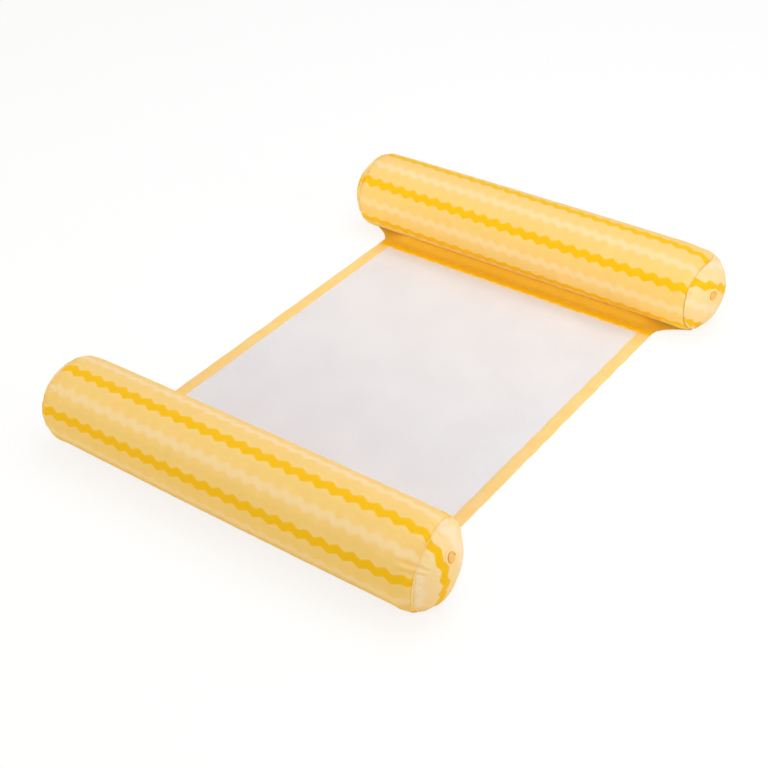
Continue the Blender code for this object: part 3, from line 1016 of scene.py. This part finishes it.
def cut_skin(side):
    skin, rings, right_seam, left_seam = skins[side]
    tube = part_of_skin(skin, lambda ring: min(ring) >= right_seam and max(ring) <= left_seam)
    map_cloth(tube, tube_map(side))
    thicken(tube, CLOTH)
    finish_piece(f"{side}_tube_cloth", tube, print_finish, [f"{side}_sleeve"])
    limits = {"right": lambda ring: max(ring) <= right_seam, "left": lambda ring: min(ring) >= left_seam}
    for hand, keep in limits.items():
        cap = part_of_skin(skin, keep)
        if hand == "right":
            cut_valve_hole(cap, side, HOLE_RADIUS, HOLE_RADIUS**2 / (2 * DOME_RADIUS), 0.0030)
        map_cloth(cap, cap_map(side, hand))
        thicken(cap, CLOTH)
        nodes = [f"{side}_{hand}_cap"]
        finish_piece(f"{side}_{hand}_end_cloth", cap, CAP_FINISH[hand], nodes)


for side in SIDES:
    cut_skin(side)
print("covers", {name: len(piece.data.polygons) for name, piece in dressed.items()})

# %% [markdown]
# ## Piping, laps and seam threads
# The front seams have a cord in them, and the rear ones are a flat lap with a thread along it. The
# thread is darker than the cloth, and its darkness is painted shade: the shadow line along the seam. Each
# is a thin ring that lies on the seam of the blown-up skin, so it dips and rises with the puckers: one
# small oval stands at each of the seam's points, and each is bridged to the next. It is fullest on one
# side of the bolster and fine on the other, as the real seam sinks between the cloths there.

# %% Piping
# A section is its half width, its half height and how far it lies towards the cap.
CORD_SECTION = (0.0017, 0.0017, 0.0)
LAP_SECTION = (0.0026, 0.0007, 0.0032)
THREAD_SECTION = (0.0006, 0.0005, -0.0002)
SEAM_SECTION = {"front": CORD_SECTION, "rear": LAP_SECTION}
SEAM_LEAST = 0.5
THREAD_LEAST = 0.1
SECTION_SIDES = 10
OPEN_ANGLE = {"right": math.radians(200), "left": math.radians(20)}
OPEN_SHARES = (0.72, 0.92)
PROUD_SHARE = 0.35


def seam_ring(side, hand):
    """The seam's points after inflation, by their angle round the bolster."""
    skin, rings, right_seam, left_seam = skins[side]
    number = right_seam if hand == "right" else left_seam
    ring_of = skin.verts.layers.int["ring"]
    found = []
    for vert in skin.verts:
        if vert[ring_of] == number:
            found.append((angle_round(side, vert.co), vert.co.copy(), vert.normal.copy()))
    return sorted(found, key=lambda item: item[0])


def ring_tube(side, hand, section, least):
    """A closed tube along a seam: a small oval for each of its points, bridged in turn. Least is the
    share of its size that is left on the fine side."""
    ring = seam_ring(side, hand)
    bm = bmesh.new()
    loops = []
    for index, (angle, point, normal) in enumerate(ring):
        open_side = (1 + math.cos(angle - OPEN_ANGLE[hand])) / 2
        shown = least + (1 - least) * share_between(open_side, *OPEN_SHARES)
        half_width, half_height, towards_cap = (size * shown for size in section)
        ahead = ring[(index + 1) % len(ring)][1] - ring[index - 1][1]
        ahead.normalize()
        outward = (normal - ahead * normal.dot(ahead)).normalized()
        beside = ahead.cross(outward)
        if beside.x * HANDS[hand] < 0:
            beside.negate()
        axes = Matrix((beside, outward, beside.cross(outward))).transposed().to_4x4()
        middle = point + outward * half_height * PROUD_SHARE + beside * towards_cap
        place = Matrix.Translation(middle) @ axes @ Matrix.Diagonal((half_width, half_height, 1, 1))
        oval = bmesh.ops.create_circle(bm, segments=SECTION_SIDES, radius=1, matrix=place)
        loops.append(list({edge for vert in oval["verts"] for edge in vert.link_edges}))
    for first, second in zip(loops, loops[1:] + loops[:1]):
        bmesh.ops.bridge_loops(bm, edges=first + second)
    bmesh.ops.recalc_face_normals(bm, faces=bm.faces)
    return bm


for side in SIDES:
    for hand in HANDS:
        seam = ring_tube(side, hand, SEAM_SECTION[side], SEAM_LEAST)
        if side == "rear":
            map_cloth(seam, cap_map(side, hand))
        # The rear right lap takes the paler end copy of the print, which is painted light.
        finish = CAP_FINISH[hand] if side == "rear" else piping_finish
        finish_piece(f"{side}_{hand}_piping", seam, finish, [f"{side}_{hand}_welt"])
for hand in HANDS:
    # The thread's dark olive colour is painted shade: the shadow line along the rear seams.
    thread = ring_tube("rear", hand, THREAD_SECTION, THREAD_LEAST)
    finish_piece(f"rear_{hand}_seam_thread", thread, seam_shadow_thread_finish, [])
print("piping rings", [len(dressed[f"{side}_right_piping"].data.polygons) for side in SIDES])

# %% [markdown]
# ## The push-in valve
# Each moulded part is a turned shape, so its outline is drawn once as a radius and a height, softened
# at the corners, and spun. Heights are measured from the outside of the cloth, out of the cap.

# %% Valve parts
VALVE_STEPS = 72


def turned_part(side, name, points, finish, node):
    """Spins an outline of (radius, height) in millimetres and lays it in the valve's place."""
    bm = bmesh.new()
    line = [bm.verts.new((radius / 1000, 0, height / 1000)) for radius, height in points]
    spin_round(bm, line, (0, 0, 0), (0, 0, 1), VALVE_STEPS)
    bmesh.ops.transform(bm, matrix=valve_at[side], verts=bm.verts)
    finish_piece(f"{side}_{name}", bm, finish, [node] if node else [])


def rounded(points, size=0.25, steps=3):
    """Softens the corners of an outline with short curves."""
    soft = [points[0]]
    for before, corner, after in zip(points, points[1:], points[2:]):
        here = Vector(corner)
        back, on = Vector(before) - here, Vector(after) - here
        reach = min(size, back.length * 0.45, on.length * 0.45)
        start, end = here + back.normalized() * reach, here + on.normalized() * reach
        for step in range(steps + 1):
            share = step / steps
            bend = (1 - share) ** 2 * start + 2 * share * (1 - share) * here + share**2 * end
            soft.append(tuple(bend))
    soft.append(points[-1])
    return soft


PLUG_OUTLINE = [(0, -7.05), (3.1, -7.05), (3.7, -6.4), (3.7, -0.056), (8.8, -0.056), (8.8, 1.30),
                (8.1, 1.544), (6.4, 1.544), (6.0, 1.20), (5.2, 1.20), (4.8, 1.50), (0, 1.62)]
STEM_OUTLINE = [(4.0, -0.356), (9.5, -0.356), (9.5, -1.556), (6.2, -1.556), (6.2, -15.356),
                (4.0, -15.356), (4.0, -0.356)]
BASE_OUTLINE = [(6.5, -1.856), (7.7, -1.856), (7.9, -2.356), (14.7, -2.6), (14.7, -3.356), (7.7, -3.6),
                (7.7, -9.356), (6.5, -9.356), (6.5, -1.856)]

for side in SIDES:
    turned_part(side, "stopper", rounded(PLUG_OUTLINE), valve_finish, f"{side}_valve_plug")
    turned_part(side, "nozzle", rounded(STEM_OUTLINE), valve_finish, f"{side}_valve_stem")
    turned_part(side, "valve_seat", rounded(BASE_OUTLINE), valve_finish, f"{side}_valve_base")
    for node in ("valve_strap", "valve_flap"):
        solid = frame["nodes"][f"{side}_{node}"]
        solid.data.materials.clear()
        finish = strap_finish if node == "valve_strap" else valve_finish
        solid.data.materials.append(finish.material)
        solid.data.shade_smooth()
print("valves made")

# %% The facing ring round the valve's hole in the cloth
FACING_INNER = 0.0097
FACING_OUTER = 0.0142
FACING_HEIGHT = 0.0006
FACING_STEPS = 20


def make_facing(side):
    """A flat ring with soft edges that lies on the dome and covers the edge of the hole."""
    middle = (FACING_INNER + FACING_OUTER) / 2
    half_width = (FACING_OUTER - FACING_INNER) / 2
    sag = middle**2 / (2 * DOME_RADIUS)
    outline_points = []
    for step in range(FACING_STEPS + 1):
        angle = 2 * math.pi * step / FACING_STEPS
        aside = half_width * math.cos(angle)
        height = FACING_HEIGHT * (0.4 + math.sin(angle)) - sag - aside * middle / DOME_RADIUS
        outline_points.append(((middle + aside) * 1000, height * 1000))
    turned_part(side, "valve_facing", outline_points, piping_finish, None)


for side in SIDES:
    make_facing(side)
print("facing rings made")

# %% [markdown]
# ## The air bladder
# It is never seen, but a pulled nozzle needs something to be pulled out of, so it is there: the same
# outline as the cover, a few millimetres further in, with a hole whose edge is welded under the
# valve's seat.

# %% Bladder
BLADDER_INSET = 0.0048
WELD_RADIUS = 0.0092
WELD_DEPTH = 0.0038


def make_bladder(side):
    bm = bmesh.new()
    axis_y = SIDES[side] * AXIS_Y
    shorter, thinner = 1 - BLADDER_INSET / END_X, 1 - BLADDER_INSET / RADIUS
    line = []
    for distance in np.linspace(0, 2 * HALF_LENGTH, 180):
        x, radius = outline_point(float(distance))
        line.append(bm.verts.new((x * shorter, axis_y, AXIS_Z - radius * thinner)))
    spin_round(bm, line, (0, axis_y, AXIS_Z), (1, 0, 0), 96)
    cut_valve_hole(bm, side, WELD_RADIUS, WELD_DEPTH, 0.0050)
    for vert in bm.verts:
        settle(vert, side, "right" if vert.co.x > 0 else "left")
    finish_piece(f"{side}_air_bladder", bm, film_finish, [f"{side}_bladder"])


for side in SIDES:
    make_bladder(side)
print("bladders made")

# %% [markdown]
# ## The seat: net, tapes, hems and flanges
# The seat is flat cloth, so its pieces start as grids and bars. The real net is one piece, and so is
# this one. The flange bends at the hem, because it is sewn there to the net. At its
# other edge it is sewn to the bolster, whose underside it rises to meet.

# %% Net
NET_THICKNESS = 0.00025
NET_LEVEL = (mesh_low.z + mesh_high.z) / 2
NET_HALF_X = mesh_high.x + 0.0025
NET_HALF_Y = -mesh_low.y
NET_LIFT = 0.0012
NET_RIPPLE = 0.0013
CALM_EDGE = 0.028
CALM_FADE = 0.05
FRONT_EASE = 0.0025


def ripple(x, y):
    """The shallow unevenness of a net that lies on a floor, from -1 to 1."""
    first = math.sin(11 * x + 4 * y + 0.6) * math.sin(9 * y - 5 * x + 1.1)
    second = math.sin(23 * x - 9 * y + 2.0) * math.sin(17 * y + 6 * x)
    return 0.65 * first + 0.35 * second


def front_share(y):
    """0 at the seat's rear end, 1 at its front end."""
    return clamped(0.5 - y / (2 * NET_HALF_Y))


def make_net():
    bm = bmesh.new()
    bmesh.ops.create_grid(bm, x_segments=96, y_segments=120, size=0.5)
    for vert in bm.verts:
        y = vert.co.y * 2 * NET_HALF_Y
        half_x = NET_HALF_X + FRONT_EASE * front_share(y)
        x = vert.co.x * 2 * half_x
        room = min(half_x - abs(x), NET_HALF_Y - abs(y))
        calm = clamped((room - CALM_EDGE) / CALM_FADE)
        vert.co = (x, y, NET_LEVEL + calm * (NET_LIFT + NET_RIPPLE * ripple(x, y)))
    map_cloth(bm, lambda point, _: (point.x, point.y))
    thicken(bm, NET_THICKNESS)
    net = finish_piece("seat_net_cloth", bm, net_finish, ["front_mesh", "rear_mesh"])
    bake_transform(net)
    return net


net = make_net()
print("net of", round(2 * NET_HALF_X, 3), "by", round(2 * NET_HALF_Y, 3), "m")

# %% Folded bars of cloth for the tapes and hems
DRAWN_UP = 0.00022
DRAWN_ASIDE = 0.00030
DRIFT_ASIDE = 0.0010
PRESSED_FLAT = 0.45
PRESSED_NARROW = 0.2
PRESS_FADE = 0.002


def folded_bar(low, high, along, cuts):
    """A flat bar of folded cloth with soft edges, cut across often enough to bend."""
    bm = bmesh.new()
    bmesh.ops.create_cube(bm, size=1)
    size = high - low
    bmesh.ops.scale(bm, vec=size, verts=bm.verts)
    bmesh.ops.translate(bm, vec=(low + high) / 2, verts=bm.verts)

    def long_edges():
        return [e for e in bm.edges if abs((e.verts[0].co - e.verts[1].co)[along]) > size[along] * 0.9]

    bmesh.ops.bevel(
        bm, geom=long_edges(), offset=size.z * 0.42, offset_type="OFFSET", affect="EDGES",
        segments=4, profile=0.5, material=-1, clamp_overlap=True,
    )
    bmesh.ops.subdivide_edges(bm, edges=long_edges(), cuts=cuts, use_grid_fill=True)
    return bm


def four_waves(generator, slowest, fastest):
    """A seeded sum of four sine waves, as a function of the way along."""
    waves = [(generator.uniform(slowest, fastest), generator.uniform(0, 6.3)) for _ in range(4)]
    return lambda way: sum(math.sin(way * rate + start) for rate, start in waves) / 4


def soften_bar(bm, along, seed):
    """Small waves in a bar, as where its stitches draw it in, and slower drifts to its sides."""
    generator = random.Random(seed)
    drawn_in = four_waves(generator, 90, 420)
    drifting = four_waves(generator, 35, 130)
    for vert in bm.verts:
        wave, drift = drawn_in(vert.co[along]), drifting(vert.co[along])
        vert.co.z = max(0.0, vert.co.z + DRAWN_UP * wave)
        vert.co[1 - along] += DRAWN_ASIDE * wave + DRIFT_ASIDE * drift


SEAT_EASE = {"left": 0.0055, "right": 0.0035}
HEM_BAND = 0.4015
HEM_INNER = 0.391


def make_binding(hand):
    inner, outer = tape_low.x + SEAT_EASE[hand], tape_high.x + SEAT_EASE[hand]
    low = Vector((inner, tape_low.y, tape_low.z))
    high = Vector((outer, -tape_low.y, tape_high.z))
    if hand == "left":
        low.x, high.x = -outer, -inner
    bm = folded_bar(low, high, 1, 210)
    soften_bar(bm, 1, HANDS[hand] + 20)
    middle = (low.x + high.x) / 2
    for vert in bm.verts:
        pressed = share_between(abs(vert.co.y), HEM_INNER - PRESS_FADE, HEM_INNER + PRESS_FADE)
        vert.co.z *= 1 - PRESSED_FLAT * pressed
        vert.co.x = middle + (vert.co.x - middle) * (1 - PRESSED_NARROW * pressed)
        vert.co.x += HANDS[hand] * FRONT_EASE * front_share(vert.co.y)
    map_cloth(bm, lambda point, _: (point.x, point.y))
    nodes = [f"{side}_{hand}_binding" for side in SIDES]
    tape = finish_piece(f"{hand}_binding_tape", bm, tape_finish, nodes)
    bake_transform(tape)


def make_hem(side):
    sign = SIDES[side]
    ys = sorted((sign * -hem_low.y, sign * HEM_INNER))
    eased = FRONT_EASE if side == "front" else 0
    left, right = -hem_high.x - SEAT_EASE["left"] - eased, hem_high.x + SEAT_EASE["right"] + eased
    bm = folded_bar(Vector((left, ys[0], hem_low.z)), Vector((right, ys[1], hem_high.z)), 0, 170)
    soften_bar(bm, 0, sign + 30)
    map_cloth(bm, lambda point, _: (point.x, abs(point.y) - HEM_BAND))
    # The hem takes the orange strip copy of the print, whose saturation is painted bounce light.
    hem = finish_piece(f"{side}_hem_cloth", bm, painted_bounce_strip_finish, [f"{side}_hem"])
    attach(hem, f"{side}_panel")


for hand in HANDS:
    make_binding(hand)
for side in SIDES:
    make_hem(side)
print("tapes and hems made")

# %% Flanges
FLANGE_START = 0.4075
FLANGE_END = -strip_low.y + 0.003
FLANGE_HEM = hem_high.x + SEAT_EASE["right"]
FLANGE_WIDE = 0.404
FLARE_START = 0.400
FLARE_DEPTH = 0.0585
FLARE_CURVE = 2.1
FLANGE_THICKNESS = 0.0007
FLANGE_LEVEL = (strip_low.z + strip_high.z) / 2
FOLD_LINE = 0.416
FLANGE_RISE = 0.0105
RISE_ENDS = 0.444
RISE_FADES = (0.29, 0.35)
TUCK_HEIGHT = 0.0014
FLANGE_GAP = 0.0003


def flange_half_width(side, reach):
    """Half the flange's length at a distance from the seat's middle: its ends are hollow curves."""
    share = clamped((reach - FLARE_START) / FLARE_DEPTH)
    narrow = FLANGE_HEM + (FRONT_EASE if side == "front" else 0)
    return narrow + (FLANGE_WIDE - narrow) * share**FLARE_CURVE


def belly_height(x, reach):
    """How high the bolster's underside is above the floor at a distance from the seat's middle."""
    straight = SEAM_PLANE - SHOULDER
    radius = RADIUS * (1 + SWELL * max(0, 1 - (x / straight) ** 2))
    return AXIS_Z - math.sqrt(radius**2 - (AXIS_Y - reach) ** 2)


def make_flange(side):
    sign = SIDES[side]
    generator = random.Random(40 + sign)
    tucks = [(generator.uniform(-0.3, 0.3), generator.uniform(0.006, 0.016), generator.uniform(0.4, 1))
             for _ in range(26)]
    bm = bmesh.new()
    bmesh.ops.create_grid(bm, x_segments=220, y_segments=26, size=0.5)
    for vert in bm.verts:
        reach = FLANGE_START + (vert.co.y + 0.5) * (FLANGE_END - FLANGE_START)
        x = vert.co.x * 2 * flange_half_width(side, reach)
        free = math.sin(math.pi * clamped((reach - FOLD_LINE) / (FLANGE_END - FOLD_LINE))) ** 1.5
        tuck = sum(size * math.exp(-(((x - at) / width) ** 2)) for at, width, size in tucks)
        rise = FLANGE_RISE * share_between(reach, FOLD_LINE + 0.002, RISE_ENDS)
        rise *= 1 - share_between(abs(x), *RISE_FADES)
        level = min(FLANGE_LEVEL + rise + free * TUCK_HEIGHT * tuck, belly_height(x, reach) - FLANGE_GAP)
        vert.co = (x, sign * reach, max(level, FLANGE_THICKNESS))
    bmesh.ops.recalc_face_normals(bm, faces=bm.faces)
    map_cloth(bm, lambda point, _: (point.x, abs(point.y) - HEM_BAND))
    thicken(bm, FLANGE_THICKNESS)
    # The flange takes the orange strip copy of the print, whose saturation is painted bounce light.
    flange = finish_piece(f"{side}_flange_cloth", bm, painted_bounce_strip_finish, [f"{side}_flange"])
    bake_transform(flange)


for side in SIDES:
    make_flange(side)
print("flanges made")

# %% [markdown]
# ## Stitches
# A row of stitches is one small shape many times over, so each one is a low ball, stretched along the
# row. All the stitches of one strip are one piece, and those of a hem ride on the hem's panel.

# %% Stitches
STITCH = Vector((0.0016, 0.00034, 0.00026))
STITCH_STEP = 0.0046
ROW_INSET = 0.0028
OUTER_INSET = 0.0026
ROW_SHORT = 0.003


def stitch_shape(along):
    """One stitch at the origin: a low ball that is stretched along the row."""
    bm = bmesh.new()
    turn = Matrix.Rotation(math.pi / 2, 4, "Z") if along == 1 else Matrix.Identity(4)
    shape = turn @ Matrix.Diagonal((*STITCH, 1))
    bmesh.ops.create_uvsphere(bm, u_segments=6, v_segments=4, radius=1, matrix=shape)
    return mesh_from("stitch", bm)


def stitch_rows(name, lines, along):
    """Rows of stitches, one line for each row: where it starts and ends."""
    stitch = stitch_shape(along)
    bm = bmesh.new()
    at = Vector((0, 0, 0))
    for start, end in lines:
        count = round((end - start).length / STITCH_STEP)
        for i in range(count):
            place = start.lerp(end, (i + 0.5) / count)
            stitch.transform(Matrix.Translation(place - at))
            at = place
            bm.from_mesh(stitch)
    bpy.data.meshes.remove(stitch)
    return finish_piece(name, bm, thread_finish, [])


for hand, sign in HANDS.items():
    inner = sign * (tape_low.x + SEAT_EASE[hand] + ROW_INSET)
    outer = sign * (tape_high.x + SEAT_EASE[hand] - OUTER_INSET)
    lines = []
    for x in (inner, outer):
        start = Vector((x + sign * FRONT_EASE, ROW_SHORT - HEM_INNER, tape_high.z))
        lines.append((start, Vector((x, HEM_INNER - ROW_SHORT, tape_high.z))))
    rows = stitch_rows(f"{hand}_binding_stitches", lines, 1)
    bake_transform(rows)
for side, sign in SIDES.items():
    lines = []
    for y in (-HEM_INNER - ROW_INSET, hem_low.y + ROW_INSET):
        ends = (hem_low.x + ROW_SHORT, hem_high.x - ROW_SHORT)
        lines.append([Vector((x, -sign * y, hem_high.z)) for x in ends])
    rows = stitch_rows(f"{side}_hem_stitches", lines, 0)
    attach(rows, f"{side}_panel")
print("stitches made")

# %% [markdown]
# ## What moves with what
# A piece that stands for a solid has to move as the solid does. The covers, the piping and the
# bladder ride on their bolster, the nozzle and the stopper on their own bodies.

# %% Bodies and soft goods
for side in SIDES:
    for name in ("tube_cloth", "right_end_cloth", "left_end_cloth", "right_piping", "left_piping",
                 "right_seam_thread", "left_seam_thread", "air_bladder", "valve_seat", "valve_facing"):
        if f"{side}_{name}" in dressed:
            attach(dressed[f"{side}_{name}"], f"{side}_bolster")
    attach(dressed[f"{side}_nozzle"], f"{side}_nozzle")
    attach(dressed[f"{side}_stopper"], f"{side}_plug")
    flange_area = sum(face.area for face in dressed[f"{side}_flange_cloth"].data.polygons) / 2
print(len(dressed), "pieces dressed")
